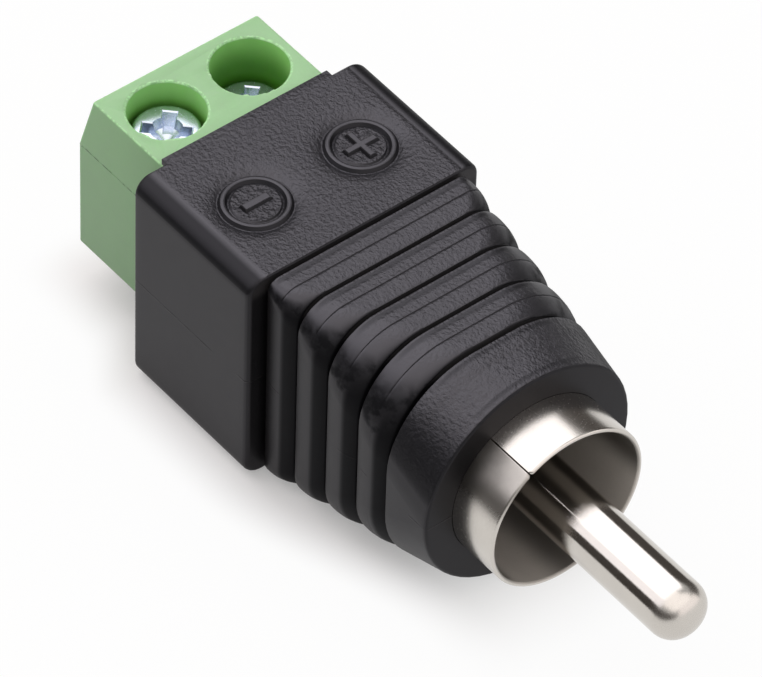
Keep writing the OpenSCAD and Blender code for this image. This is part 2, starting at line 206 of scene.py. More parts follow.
class StageSettings(bpy.types.PropertyGroup):
    """Camera, lights and floor"""

    azimuth: turn("Azimuth", "How far the camera stands round the plug", 49.948)
    elevation: turn("Elevation", "How high the camera stands", 46.134)
    roll: turn("Roll", "How far the camera is tilted", 1.964)
    aim: FloatVectorProperty(
        name="Aim", description="Point that the camera looks at", subtype="XYZ", unit="LENGTH",
        default=(-0.002882, -0.000053, 0.0066),
    )
    distance: length("Distance", "Camera to that point", 378.458)
    lens: FloatProperty(name="Lens", description="Focal length in millimetres", default=371.739)
    key_from: FloatVectorProperty(
        name="Key direction", description="Direction towards the key light",
        subtype="DIRECTION", default=(-0.53, -0.22, 0.82),
    )
    key_distance: length("Key distance", "Plug to the key light", 500)
    key_width: length("Key width", "Width of the soft box, along the plug", 450)
    key_length: length("Key length", "Length of the soft box, across the plug", 800)
    key_shift: length("Key shift", "How far the soft box is moved over to the plug's far side", 200)
    key_level: FloatProperty(name="Key level", description="Brightness of the soft box", default=1.6)
    key_tint: tint("Key colour", "Colour of the soft box", (0.985, 0.96, 1.0))
    sky: tint("Sky", "Light that comes from all sides", (0.58, 0.58, 0.58))
    floor: tint("Floor", "Light that the floor throws back", (0.12, 0.12, 0.12))
    paper: tint("Paper", "Colour of the floor where its shading shows", (0.95, 0.91, 0.885))


def in_mm(group):
    """A group's lengths in millimetres, and its other values as they are."""
    values = {}
    for prop in group.bl_rna.properties:
        if prop.identifier not in {"rna_type", "name"}:
            value = getattr(group, prop.identifier)
            is_length = getattr(prop, "unit", "") == "LENGTH" and not hasattr(value, "__len__")
            values[prop.identifier] = value / MM if is_length else value
    return SimpleNamespace(**values)


# Mesh tools


@contextmanager
def editing(mesh):
    """Opens a mesh for editing and writes the edits back."""
    edit = bmesh.new()
    edit.from_mesh(mesh)
    yield edit
    edit.to_mesh(mesh)
    edit.free()


def new_piece(name, points, faces):
    """A mesh object from points and faces, with its faces turned outwards."""
    mesh = bpy.data.meshes.new(name)
    mesh.from_pydata([tuple(point) for point in points], [], [tuple(face) for face in faces])
    piece = bpy.data.objects.new(name, mesh)
    bpy.context.scene.collection.objects.link(piece)
    with editing(mesh) as edit:
        bmesh.ops.recalc_face_normals(edit, faces=edit.faces)
    return piece


def sheet(name, points):
    """A flat piece with one face through all its points."""
    return new_piece(name, points, [range(len(points))])


def skin(name, rings):
    """A closed skin through rings of points, each with the same number of points."""
    count = len(rings[0])
    points = [point for ring in rings for point in ring]
    faces = [list(range(count)), list(range(len(points) - count, len(points)))]
    for row in range(len(rings) - 1):
        for step in range(count):
            here, after = row * count + step, row * count + (step + 1) % count
            faces.append([here, after, after + count, here + count])
    return new_piece(name, points, faces)


def section(x, half_width, half_height, corner, middle=(0, 0), arc=14):
    """A rounded rectangle across the plug at x, as points that run up from its +Y side."""
    shares = np.array([0, 0.3, 0.6, 0.85, 0.97])
    angles = np.linspace(0, math.pi / 2, arc + 1)
    flat_y, flat_z = half_width - corner, half_height - corner
    y = np.concatenate([np.full(5, half_width), flat_y + corner * np.cos(angles), shares[::-1] * flat_y])
    z = np.concatenate([shares * flat_z, flat_z + corner * np.sin(angles), np.full(5, half_height)])
    upper = np.concatenate([np.stack([y, z], 1), np.stack([-y, z], 1)[-2::-1]])
    ring = np.concatenate([upper, (upper * [1, -1])[-2:0:-1]]) + middle
    return [(x, point[0], point[1]) for point in ring]


def block(name, low, high, ease=0.0):
    """A box between two corners, with its edges rounded."""
    points = [(x, y, z) for x in (low[0], high[0]) for y in (low[1], high[1]) for z in (low[2], high[2])]
    faces = [(0, 1, 3, 2), (4, 5, 7, 6), (0, 1, 5, 4), (2, 3, 7, 6), (0, 2, 6, 4), (1, 3, 7, 5)]
    piece = new_piece(name, points, faces)
    if ease:
        round_edges(piece, ease)
    return piece


def turned(name, stations, steps, upright=False, middle=(0, 0, 0)):
    """A turned solid from stations of (place along the axis, radius or radii round it)."""
    angles = np.linspace(0, 2 * math.pi, steps, endpoint=False)
    rings = []
    for along, radius in stations:
        a, b = radius * np.cos(angles), radius * np.sin(angles)
        level = np.full(steps, along)
        ring = np.stack([a, b, level] if upright else [level, a, b], 1)
        rings.append(ring + np.array(middle))
    return skin(name, rings)


def round_edges(piece, width, segments=3, angle=30):
    """Rounds every edge of a piece that is sharper than an angle in degrees."""
    with editing(piece.data) as edit:
        sharp = [
            edge for edge in edit.edges
            if len(edge.link_faces) == 2 and edge.calc_face_angle(0) > math.radians(angle)
        ]
        bmesh.ops.bevel(
            edit, geom=sharp, offset=width, segments=segments,
            profile=0.5, affect="EDGES", clamp_overlap=True,
        )


def carve(piece, operation, *tools):
    """Joins closed tools to a piece or cuts them out of it. The tools are used up."""
    for tool in tools:
        change = piece.modifiers.new("carve", "BOOLEAN")
        change.operation, change.solver, change.object = operation, "EXACT", tool
        shaped = piece.evaluated_get(bpy.context.evaluated_depsgraph_get())
        worked, before = bpy.data.meshes.new_from_object(shaped), piece.data
        piece.modifiers.clear()
        piece.data = worked
        for mesh in (before, tool.data):
            bpy.data.meshes.remove(mesh)


def solid_copy(name, node):
    """A copy of a packed solid in building millimetres, with its vertices joined up."""
    piece = bpy.data.objects.new(name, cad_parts[node].data.copy())
    bpy.context.scene.collection.objects.link(piece)
    piece.data.materials.clear()
    piece.data.transform(Matrix.Translation((-REAR, 0, 0)) @ Matrix.Scale(1 / MM, 4))
    with editing(piece.data) as edit:
        bmesh.ops.remove_doubles(edit, verts=edit.verts, dist=0.001)
        bmesh.ops.dissolve_limit(edit, angle_limit=0.01, verts=edit.verts, edges=edit.edges)
        bmesh.ops.recalc_face_normals(edit, faces=edit.faces)
    return piece


def settle(piece, finish, body, slot, *nodes, smooth=35):
    """Puts a piece in its place, gives it its finish, hangs it on its body's empty and hides the packed
    solids that it stands in for.
    """
    mesh = piece.data
    mesh.name = piece.name
    with editing(mesh) as edit:
        bmesh.ops.remove_doubles(edit, verts=edit.verts, dist=0.0005)
        bmesh.ops.triangulate(edit, faces=[face for face in edit.faces if len(face.verts) > 4])
    mesh.transform(Matrix.Scale(MM, 4) @ Matrix.Translation((REAR, 0, 0)))
    mesh.shade_smooth()
    mesh.set_sharp_from_angle(angle=math.radians(smooth))
    mesh.materials.clear()
    mesh.materials.append(finish)
    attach(piece, body)
    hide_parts(*nodes)


# Shader tools


def joins(operation):
    """Two methods that join a wire and a value in a Math node, one for each order of the two."""
    return (
        lambda wire, other: wire.math(operation, wire, other),
        lambda wire, other: wire.math(operation, other, wire),
    )


class Wire:
    """A shader value that Python can add, subtract, multiply, divide and raise to a power."""

    def __init__(self, finish, socket):
        self.finish, self.socket = finish, socket

    def math(self, operation, *values):
        return self.finish.node("ShaderNodeMath", {"operation": operation}, dict(enumerate(values)))

    __add__, __radd__ = joins("ADD")
    __sub__, __rsub__ = joins("SUBTRACT")
    __mul__, __rmul__ = joins("MULTIPLY")
    __truediv__, __rtruediv__ = joins("DIVIDE")
    __pow__, __rpow__ = joins("POWER")

    def __abs__(self):
        return self.math("ABSOLUTE", self)

    def most(self, other):
        return self.math("MAXIMUM", self, other)

    def ramp(self, low, high):
        """A soft step from 0 at low to 1 at high."""
        return self.finish.node(
            "ShaderNodeMapRange", {"interpolation_type": "SMOOTHSTEP"},
            {0: self, 1: low, 2: high, 3: 0.0, 4: 1.0},
        )


class Finish:
    """A material and the nodes that make it."""

    def __init__(self, name):
        self.material = bpy.data.materials.new(name)
        self.material.use_nodes = True
        self.tree = self.material.node_tree
        self.tree.nodes.clear()

    def node(self, kind, settings=None, sockets=None, out=0):
        """Adds one node: its settings first, then its sockets' values or links."""
        made = self.tree.nodes.new(kind)
        for key, value in (settings or {}).items():
            setattr(made, key, value)
        for key, value in (sockets or {}).items():
            if isinstance(value, Wire):
                self.tree.links.new(value.socket, made.inputs[key])
            else:
                made.inputs[key].default_value = value
        return Wire(self, made.outputs[out])

    def place(self):
        """The point on the piece, in millimetres."""
        point = self.node("ShaderNodeTexCoord", out="Object")
        return self.node("ShaderNodeVectorMath", {"operation": "SCALE"}, {0: point, "Scale": 1 / MM})

    def facing(self):
        """The three numbers of the way that the surface faces."""
        return self.parts(self.node("ShaderNodeTexCoord", out="Normal"))

    def parts(self, vector):
        """A vector's three numbers."""
        first = self.node("ShaderNodeSeparateXYZ", None, {0: vector})
        return [first] + [Wire(self, first.socket.node.outputs[i]) for i in (1, 2)]

    def stretch(self, vector, scale):
        """A vector times another, part by part."""
        return self.node("ShaderNodeVectorMath", {"operation": "MULTIPLY"}, {0: vector, 1: scale})

    def noise(self, vector, size_mm, detail=2.0):
        """Soft noise with marks of about a size in millimetres."""
        return self.node(
            "ShaderNodeTexNoise", None, {"Vector": vector, "Scale": 1 / size_mm, "Detail": detail}
        )

    def mix(self, share, first, second):
        """A blend of two colours."""
        first, second = (
            value if isinstance(value, Wire) else (*value, 1.0)[:4] for value in (first, second)
        )
        return self.node(
            "ShaderNodeMix", {"data_type": "RGBA"}, {0: share, 6: first, 7: second}, out=2
        )

    def bump(self, height, deep_mm):
        """A surface that a height from 0 to 1 raises by a depth in millimetres."""
        return self.node(
            "ShaderNodeBump", None, {"Height": height, "Strength": 1.0, "Distance": deep_mm * MM}
        )

    def surface(self, **sockets):
        """A surface shader. Underscores in the names stand for spaces."""
        named = {key.replace("_", " "): value for key, value in sockets.items()}
        return self.node("ShaderNodeBsdfPrincipled", None, named)

    def blend(self, share, first, second):
        """A blend of two shaders."""
        return self.node("ShaderNodeMixShader", None, {0: share, 1: first, 2: second})

    def show(self, surface):
        """Makes a shader the material's surface."""
        output = self.tree.nodes.new("ShaderNodeOutputMaterial")
        self.tree.links.new(surface.socket, output.inputs[0])
        return self.material


def shade(colour, factor):
    """A colour made darker or lighter."""
    return tuple(min(1.0, part * factor) for part in colour)


def moulded_black(sizes):
    """Black plastic: satin and grained on top, smooth on the sides, painted darker and duller as shade on
    the ribs' front slopes.
    """
    finish = Finish("moulded_black")
    point = finish.place()
    x, y, z = finish.parts(point)
    ahead, _, up = finish.facing()
    upward = up.ramp(0.80, 0.97)
    rings = fields = 0.0
    for side in SIDES:
        along, across = x - (REAR + sizes.mark_back), y - side * sizes.mark_side
        away = (along**2 + across**2) ** 0.5
        rings = away.ramp(1.38, 1.46) * (1 - away.ramp(1.78, 1.88)) + rings
        fields = (1 - away.ramp(1.3, 1.4)) + fields
        for half_x, half_y in BARS[side]:
            bar = 1 - abs(along).ramp(half_x + 0.02, half_x + 0.1)
            rings = rings.most(bar * (1 - abs(across).ramp(half_y, half_y + 0.1)))
    # Ribs are counted along the plug from the first groove, and the nose begins at the last one.
    rib = (x - (REAR + sizes.groove_first)) / sizes.rib_pitch
    last = sizes.rib_count
    past_box = rib.ramp(-0.02, 0.02)
    on_ribs = past_box * (1 - rib.ramp(last - 0.02, last + 0.02))
    front_half = rib.math("FRACT", rib).ramp(0.38, 0.7)
    # On top the grooves are painted lighter, standing in for light that reaches into them, and a strip
    # along each one's front edge is painted darker as shade.
    off = rib - rib.math("ROUND", rib)
    gap = abs(off) * sizes.rib_pitch
    grooves = (1 - gap.ramp(0.11, 0.15)) * z.ramp(TOP_Z - 1.2, TOP_Z - 0.7)
    grooves = grooves * rib.ramp(-0.1, -0.06) * (1 - rib.ramp(last + 0.06, last + 0.1))
    strip = gap.ramp(0.23, 0.34) * (1 - gap.ramp(0.40, 0.64)) * upward
    strip = strip * off.ramp(-0.01, 0.01) * past_box
    flat = sizes.width / 2 - sizes.edge
    margin = 1 - abs(y).ramp(flat - 0.4, flat - 0.1) * (1 - past_box)
    grained = upward * (1 - rings) * margin * (1 - on_ribs * 0.4) * (1 - strip * 0.7)
    on_nose = rib.ramp(last, last + 0.05) * (1 - ahead.ramp(0.5, 0.8))
    grained = grained.most(on_nose * up.ramp(0.15, 0.6))
    cloud = finish.noise(point, 0.9)
    grain = finish.noise(point, 0.21) * 0.8 + finish.noise(point, 0.09, 1.0) * 0.2
    parting = (1 - abs(z - AXIS_Z).ramp(0.015, 0.06)) * (1 - abs(up).ramp(0.05, 0.2))
    parting = parting * finish.noise(point, 0.8).ramp(0.4, 0.6)
    silk = finish.noise(point, 0.05)
    height = grain * grained * (1 + fields) + silk * 0.04 + parting * 0.25
    pits = grain * grained * 0.6 + cloud * 0.4
    tone = finish.mix(pits, shade(sizes.colour, 0.7), shade(sizes.colour, 1.4))
    # Painted light: faces that turn sideways take the warmer side colour, standing in for warm floor
    # light.
    tone = finish.mix(1 - abs(up).ramp(0.1, 0.6), tone, sizes.painted_warm_side)
    satin = finish.surface(
        Base_Color=finish.mix(parting * 0.6, tone, shade(sizes.painted_warm_side, 4)),
        Roughness=0.34 + grained * 0.06 + cloud * 0.08,
        Specular_IOR_Level=0.78,
        Specular_Tint=(0.95, 0.92, 1.0, 1),
        Normal=finish.bump(height, 0.1),
    )
    # Painted shade: a darker copy of the plastic, lighter in the grooves as painted light, mixed in
    # below.
    dark = finish.mix(cloud, shade(sizes.colour, 0.35), shade(sizes.colour, 0.65))
    shaded_matt = finish.surface(
        Base_Color=finish.mix(grooves, dark, sizes.painted_groove_light),
        Roughness=0.6,
        Specular_IOR_Level=0.06,
        Normal=finish.bump(height, 0.03),
    )
    # Painted shade: the mask below darkens the sides, corners, box edge band, forward faces, front slopes
    # and strips.
    slope = front_half * on_ribs * (1 - up.ramp(0.25, 0.8))
    corner = up.ramp(0.08, 0.3) * (1 - up.ramp(0.55, 0.85))
    # Painted sheen: noise mottles the rib corners with lighter and darker patches of reflection.
    mottled_painted_sheen = (finish.noise(point, 0.6, 3.0).ramp(0.38, 0.62) - 0.5) * on_ribs
    dull = (0.55 * (1 - up.ramp(0.1, 0.6))).most(corner * (0.75 + mottled_painted_sheen * 0.35)).most(slope * 0.97)
    box_edge = abs(y).ramp(flat - 0.15, flat + 0.2) * (1 - past_box)
    dull = dull.most(ahead.ramp(0.3, 0.7) * 0.7).most(box_edge * up.ramp(0.1, 0.4) * 0.72)
    dull = dull.most(grooves * 0.9).most(strip * 0.4)
    return finish.show(finish.blend(dull, satin, shaded_matt))


def moulded_green(sizes):
    """Green plastic with painted light and shade in the wells, darker deeper down, and a fine seam round
    it at knee height.
    """
    finish = Finish("moulded_green")
    point = finish.place()
    x, y, z = finish.parts(point)
    cloud = finish.noise(point, 1.6)
    speck = finish.noise(point, 0.22, 3.0)
    side, knee = BLOCK_HIGH.y, BLOCK_LOW.z + sizes.knee
    seam = (1 - abs(z - knee).ramp(0.02, 0.07)) * abs(y).ramp(side - 0.08, side - 0.06)
    dashes = finish.noise(point, 0.35, 1.0).ramp(0.35, 0.6)
    off = abs(y) - sizes.pitch / 2
    away = ((x - (REAR - sizes.well_back)) ** 2 + off**2) ** 0.5
    radius, below = sizes.well / 2, BLOCK_HIGH.z - z
    down = (1 - away.ramp(radius + 0.04, radius + 0.12)) * below.ramp(0.02, 0.2)
    # Painted light and shade in the wells: brighter green near the top, darker green deeper down.
    well = finish.mix(below.ramp(0.1, 2.2), sizes.wall, sizes.deep)
    plain = finish.mix(cloud * 0.6 + speck * 0.4, shade(sizes.colour, 0.93), shade(sizes.colour, 1.07))
    sunk = finish.mix(down, plain, well)
    # Painted highlight: the wells' rims and the block's top edges are painted lighter in ragged specks.
    rim = 1 - abs(away - radius - 0.05).ramp(0.03, 0.1)
    _, _, up = finish.facing()
    edge = up.ramp(0.12, 0.35) * (1 - up.ramp(0.8, 0.97)) * (1 - down.ramp(0, 0.02))
    painted_rim_highlight = rim.most(edge) * (1 - below.ramp(0.04, 0.14))
    highlight_specks = finish.noise(point, 0.17, 1.0).ramp(0.4, 0.62)
    sunk = finish.mix(painted_rim_highlight * (0.15 + highlight_specks * 0.6), sunk, shade(sizes.colour, 1.55))
    return finish.show(finish.surface(
        Base_Color=finish.mix(seam * dashes * 0.75, sunk, shade(sizes.colour, 0.35)),
        Roughness=0.42 + speck * 0.14,
        Specular_IOR_Level=0.4,
        Subsurface_Weight=0.3,
        Subsurface_Radius=(0.5, 1.0, 0.4),
        Subsurface_Scale=0.5 * MM,
        Normal=finish.bump(speck * 0.6 + finish.noise(point, 0.08) * 0.2, 0.008),
    ))


def plated(name, colour, rough, lines, stain, rolled=None, rubbed=None):
    """Plated metal with fine tooling lines and a faint stain.

    A rolled sheet is dull inside and by its seam, where painted shade darkens it and painted light and
    dark bands run inside, and a pin is rubbed dull from the place given.
    """
    finish = Finish(name)
    point = finish.place()
    drawn = finish.noise(finish.stretch(point, lines), 0.06, 3.0)
    cloud = finish.noise(point, 1.4, 3.0)
    speck = finish.noise(point, 0.09).ramp(0.62, 0.78)
    tone = finish.mix(cloud * stain + speck * stain * 0.6, colour, shade(colour, 0.62))
    dull = rough
    if rubbed:
        dull = dull + (finish.parts(point)[0] - rubbed).ramp(-0.3, 0.9) * 0.17
    if rolled:
        x, y, z = finish.parts(point)
        z = z - AXIS_Z
        seam, inner = rolled.seam_place, rolled.shell / 2 - rolled.shell_wall
        angle = z.math("ARCTAN2", z, y)
        inside = 1 - ((y**2 + z**2) ** 0.5).ramp(inner + 0.05, inner + 0.15)
        # Painted shade: the sheet beside the seam is painted darker, standing in for the broken
        # reflection there.
        beside = angle.ramp(seam, seam + 0.02) * (1 - angle.ramp(seam + 0.3, seam + 0.75))
        beside = beside * (1 - inside) * (1 - (x - (REAR + rolled.shell_rim)).ramp(-2.4, 0.4) * 0.5)
        tone = finish.mix(beside * (0.6 + cloud * 0.5), tone, shade(colour, 0.25))
        # Painted reflection: a few broad light and dark bands run along the inside of the sheet, over
        # painted shade that darkens the inside.
        around = angle * 3.9 + 1.57
        bands = around.math("COSINE", around).ramp(-0.7, 0.9)
        tone = finish.mix(inside * (1 - bands * 0.85), tone, shade(colour, 0.45))
        dull = rough + beside * 0.15 + inside * (0.25 + bands * 0.25)
    return finish.show(finish.surface(
        Base_Color=tone,
        Metallic=1.0,
        Roughness=dull + drawn * 0.07 + cloud * 0.05 + speck * 0.08,
        Normal=finish.bump(drawn * 0.5 + cloud * 0.5, 0.003),
    ))


def matt_bush(sizes):
    """Matt black insulating plastic."""
    finish = Finish("matt_bush")
    point = finish.place()
    speck = finish.noise(point, 0.15, 3.0)
    return finish.show(finish.surface(
        Base_Color=finish.mix(speck, shade(sizes.bush, 0.7), shade(sizes.bush, 1.5)),
        Roughness=0.55 + speck * 0.2,
        Normal=finish.bump(speck, 0.015),
    ))


# Pieces


def housing_stations(s):
    """Sections of the housing as (x, half width, half height, corner radius), from the rear."""
    half_w, half_h, half_rib, edge = s.width / 2, s.height / 2, s.rib_width / 2, s.edge
    front = s.groove_first - s.groove_width / 2
    end = []
    for angle in np.linspace(0, math.pi / 2, 8):
        x = s.end * (1 - math.cos(angle))
        top = s.end_top - math.sqrt(max(0, s.end_top**2 - max(0, s.end_top - x) ** 2))
        side = s.end * (1 - math.sin(angle))
        end.append((x, half_w - side, half_h - top, edge - 0.4 * side))
    rows = list(end)
    rows += [(x, half_w, half_h, edge) for x in (0.7, 2.6, 4.6, 6.6, front - 0.7)]
    rows += [(front - row[0], *row[1:]) for row in reversed(end)]
    lip = [(0, 1), (0.1, 0.62), (0.33, 0.25), (0.67, 0.06), (1.1, 0)]
    foot = [(0.0, 0.05), (0.035, 0.012), (0.08, 0)]

    def corner(x):
        return s.rib_corner + (x - s.groove_first) / s.rib_pitch * s.rib_corner_step

    def eased(x, w, h, drop, side=1):
        return (x, w - drop * side, h - drop, max(0.3, corner(x) - 0.4 * drop))

    for i in range(s.rib_count + 1):
        middle = s.groove_first + i * s.rib_pitch
        back, ahead = middle - s.groove_width / 2, middle + s.groove_width / 2
        deep = s.groove_depth
        floor = (half_rib - s.groove_side, half_h - deep, max(0.4, corner(middle) - deep))
        rows += [(back + dx + 0.004, *(part + up for part in floor)) for dx, up in foot]
        rows += [(ahead - dx - 0.004, *(part + up for part in floor)) for dx, up in reversed(foot)]
        if i == s.rib_count:
            break
        front = ahead + s.rib_pitch - s.groove_width
        crease = (ahead + front) / 2
        start = half_rib - s.rib_side_rise
        rows += [eased(ahead + s.soft_edge * dx, start, half_h, s.soft_edge * up) for dx, up in lip]
        for share in np.linspace(0.15, 0.9, 6):
            wide = half_rib - s.rib_side_rise * (1 - share) ** 2
            rows += [eased(ahead + share * (crease - ahead), wide, half_h, 0)]
        rows += [eased(crease - 0.05, half_rib, half_h, 0)]
        rows += [eased(crease - 0.01, half_rib, half_h, 2 * s.crease, 0)]
        for share in (0.03, *np.linspace(0.1, 0.9, 11), 0.94, 0.97, 0.99, 1):
            x = crease + share * (front - crease)
            fall = 1 - (1 - share**1.7) ** (1 / 1.7)
            near = max(0.0, 1 - (front - x) / s.soft_edge)
            drop = s.crease * (1 - share) + s.soft_edge * 0.8 * near**2
            wide, tall = half_rib - fall * s.rib_side_fall, half_h - fall * s.rib_top_fall
            rows += [eased(x, wide, tall, drop, min(1, near))]
    radius = s.nose_width / 2
    start = (half_rib, half_h - s.rib_top_fall, corner(ahead))
    nose = ahead + s.nose_length
    rows += [eased(ahead + s.soft_edge * dx, *start[:2], s.soft_edge * up) for dx, up in lip]
    crease = 1.05 / s.nose_length
    reach = 1 - s.nose_edge / s.nose_length
    for share in [crease - 0.012, crease, *np.linspace(crease + 0.06, reach, 12)]:
        blend = share / reach
        parts = [a + (b - a) * blend for a, b in zip(start, (radius, radius, radius - 0.02))]
        step = 0.8 * s.crease * (1 - (share - crease) / (reach - crease)) if share >= crease else 0
        rows += [(ahead + share * s.nose_length, parts[0], parts[1] - step, parts[2] - step)]
    for angle in np.linspace(0, math.pi / 2, 6)[1:]:
        x = nose - s.nose_edge + s.nose_edge * math.sin(angle)
        drop = s.nose_edge * (1 - math.cos(angle))
        rows += [(x, radius - drop, radius - drop, radius - drop - 0.02)]
    return rows


def mark_tools(s, side):
    """Cutters for one pole mark: the ring, and the field round the bars."""
    middle = np.array((s.mark_back, side * s.mark_side, TOP_Z))
    steps, count = 120, len(RING_SHAPE)
    points = [
        middle + (r * math.cos(a), r * math.sin(a), up)
        for a in np.linspace(0, 2 * math.pi, steps, endpoint=False)
        for r, up in RING_SHAPE
    ]
    faces = []
    for i in range(steps):
        for j in range(count):
            here, there = i * count, (i + 1) % steps * count
            after = (j + 1) % count
            faces.append((here + j, there + j, there + after, here + after))
    ring = new_piece("mark_ring", points, faces)
    field = turned("mark_field", [(-s.mark_field, 1.26), (0.1, 1.27)], steps, True, middle)
    for half_x, half_y in BARS[side]:
        bar = [
            [middle + (sx * (half_x + wide), sy * (half_y + wide), up) for sx, sy in CORNERS]
            for up, wide in ((-0.3, 0.24), (0.3, -0.1))
        ]
        carve(field, "DIFFERENCE", skin("bar", bar))
    return ring, field


class MakeHousing(bpy.types.Operator):
    """Build the black housing with its ribs, nose and pole marks"""

    bl_idname = "phono.make_housing"
    bl_label = "Housing"

    def execute(self, context):
        scene = context.scene
        s, b, p = (in_mm(group) for group in (scene.phono_housing, scene.phono_block, scene.phono_plug))
        rings = [section(*row, middle=(0, AXIS_Z)) for row in housing_stations(s)]
        piece = skin("moulded_housing", rings)
        half, top = BLOCK_HIGH.y, BLOCK_HIGH.z
        tongue = block("tongue", (-TONGUE, -half, top + b.gap), (1.5, half, TOP_Z - 0.002), 0.05)
        carve(piece, "UNION", tongue)
        wide, low = half + b.gap, BLOCK_LOW.z - b.gap
        nose = s.groove_first + s.rib_count * s.rib_pitch + s.groove_width / 2 + s.nose_length
        bore, cavity = p.shell / 2 + 0.02, p.shell / 2 - p.shell_wall - 0.02
        slot = p.tab_width / 2 + 2 * b.gap
        middle = (0, 0, AXIS_Z)
        carve(
            piece, "DIFFERENCE",
            block("pocket", (-0.5, -wide, low), (b.tenon + b.gap, wide, top - b.step + b.gap)),
            turned("cavity", [(b.tenon, cavity), (p.shell_back + 0.5, cavity)], 96, middle=middle),
            block("tab_slot", (b.tenon, -bore, AXIS_Z - slot), (p.shell_back + 0.5, 0, AXIS_Z + slot)),
            turned("bore", [(p.shell_back, bore), (nose + 0.5, bore)], 96, middle=middle),
        )
        for side in SIDES:
            carve(piece, "DIFFERENCE", *mark_tools(s, side))
        settle(piece, moulded_black(s), "plug", "black_plastic", "housing", smooth=28)
        return {"FINISHED"}


class MakeBlock(bpy.types.Operator):
    """Build the green terminal block with its wells and wire entries"""

    bl_idname = "phono.make_block"
    bl_label = "Terminal block"

    def execute(self, context):
        s = in_mm(context.scene.phono_block)
        low, top, half = BLOCK_LOW.z, BLOCK_HIGH.z, BLOCK_HIGH.y
        foot = BLOCK_LOW.x - REAR
        outline = [
            (foot, low), (s.tenon, low), (s.tenon, top - s.step), (-s.gap, top - s.step),
            (-s.gap, top), (-s.reach, top), (foot, low + s.knee),
        ]
        piece = skin("terminal_block", [[(x, y, z) for x, z in outline] for y in (-half, half)])
        round_edges(piece, s.ease, angle=12)
        ragged = np.random.default_rng(4)
        for side in SIDES:
            y, well = side * s.pitch / 2, s.well / 2
            nicks = np.convolve(ragged.normal(0.03, 0.12, 98), (0.25, 0.5, 0.25), "valid")
            nicks = nicks.clip(-0.07, 0.2)
            lip = [(top + 0.2, well + s.lip * 1.05 + nicks), (top, well + s.lip + nicks)]
            lip += [
                (top - s.lip * 1.4 * math.sin(a), well + (s.lip + nicks) * (1 - math.sin(a)) ** 1.5)
                for a in np.linspace(0.15, math.pi / 2, 7)
            ]
            wide, tall = s.entry_width / 2, s.entry_height / 2
            flare = ((-0.1, s.flare + 0.1), (0.05, s.flare * 0.75), (s.flare, 0), (-5 - foot, 0))
            entry = [
                section(foot + x, wide + more, tall + more, 0.25 + more, (y, s.entry_low + tall), 6)
                for x, more in flare
            ]
            seam, knee = sorted((side * (half - 0.03), side * 6)), low + s.knee
            (back, front), (floor, ceiling) = CHAMBER_X, CHAMBER_Z
            (right, left), (under, over) = BLADE_Y[side], BLADE_Z
            carve(
                piece, "DIFFERENCE",
                block("chamber", (back, y - CHAMBER_HALF, floor), (front, y + CHAMBER_HALF, ceiling)),
                turned("well", lip + [(WELL_FLOOR, well)], 96, True, (-s.well_back, y, 0)),
                skin("entry", entry),
                block("blade_slot", (-0.6, right - s.gap, under), (s.tenon + 0.5, left + s.gap, over)),
                block("seam", (foot - 0.5, seam[0], knee - 0.03), (0.2, seam[1], knee + 0.02)),
            )
        settle(piece, moulded_green(s), "plug", "green_plastic", "terminal_housing", smooth=32)
        return {"FINISHED"}


def screw_rows(s, top, tip, steps):
    """Stations of a clamp screw from the top of its head to its tip, with its thread."""
    head, shank, dog = s.head / 2, top - s.head_height, tip + s.dog_length
    rows = [(top, 0.02), (top, head - s.head_edge * 1.1)]
    rows += [
        (top - s.head_edge * (1 - math.cos(a)), head - s.head_edge * (1 - math.sin(a)))
        for a in np.linspace(0.2, math.pi / 2, 5)
    ]
    rows += [(shank + 0.06, head), (shank, head - 0.06), (shank, s.thread / 2)]
    turns = np.linspace(0, 1, steps, endpoint=False)
    for z in np.linspace(shank - 0.02, dog + 0.12, 64):
        phase = (z / s.thread_pitch - turns) % 1
        crest = 1 - np.clip(abs(phase * 2 - 1) * 1.5 - 0.25, 0, 1)
        depth = s.thread_depth * min(1, (shank - z) / 0.3 + 0.1, (z - dog) / 0.35)
        rows.append((z, s.thread / 2 - depth * (1 - crest)))
    return rows + [(dog, s.dog / 2), (tip + 0.08, s.dog / 2), (tip, s.dog / 2 - 0.08), (tip, 0.02)]


def recess_tools(s, middle, top):
    """Cutters for a screw's cross recess: two tapered arms and the cone between them."""
    reach, wide = s.recess / 2, s.recess_width / 2
    taper = ((0.3, 1.15, 1.5), (0, 1.03, 1.14), (-0.06, 0.97, 0.98), (-s.recess_deep, 0.76, 0.72))
    for angle in (45, 135):
        place = Matrix.Translation((middle[0], middle[1], top))
        place = place @ Matrix.Rotation(math.radians(angle), 4, "Z")
        yield skin("arm", [
            [place @ Vector((sx * reach * narrow, sy * wide * thin, z)) for sx, sy in CORNERS]
            for z, narrow, thin in taper
        ])
    cone = [(top + 0.2, 1.0), (top, 0.84), (top - 0.55, 0.66), (top - 0.95, 0.2)]
    yield turned("cone", cone, 32, True, middle)


class MakeScrews(bpy.types.Operator):
    """Build the two clamp screws with their threads and cross recesses"""

    bl_idname = "phono.make_screws"
    bl_label = "Clamp screws"

    def execute(self, context):
        s, steps = in_mm(context.scene.phono_screw), 64
        finish = plated("zinc_plate", s.colour, 0.18, (1, 1, 6), 0.35)
        for pole in POLES:
            node = "screw_" + pole
            low, high = (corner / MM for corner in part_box(node))
            middle = ((low.x + high.x) / 2 - REAR, (low.y + high.y) / 2, 0)
            piece = turned("clamp_" + node, screw_rows(s, high.z, low.z, steps), steps, True, middle)
            carve(piece, "DIFFERENCE", *recess_tools(s, middle, high.z))
            settle(piece, finish, node, "zinc_steel", node, smooth=30)
        return {"FINISHED"}


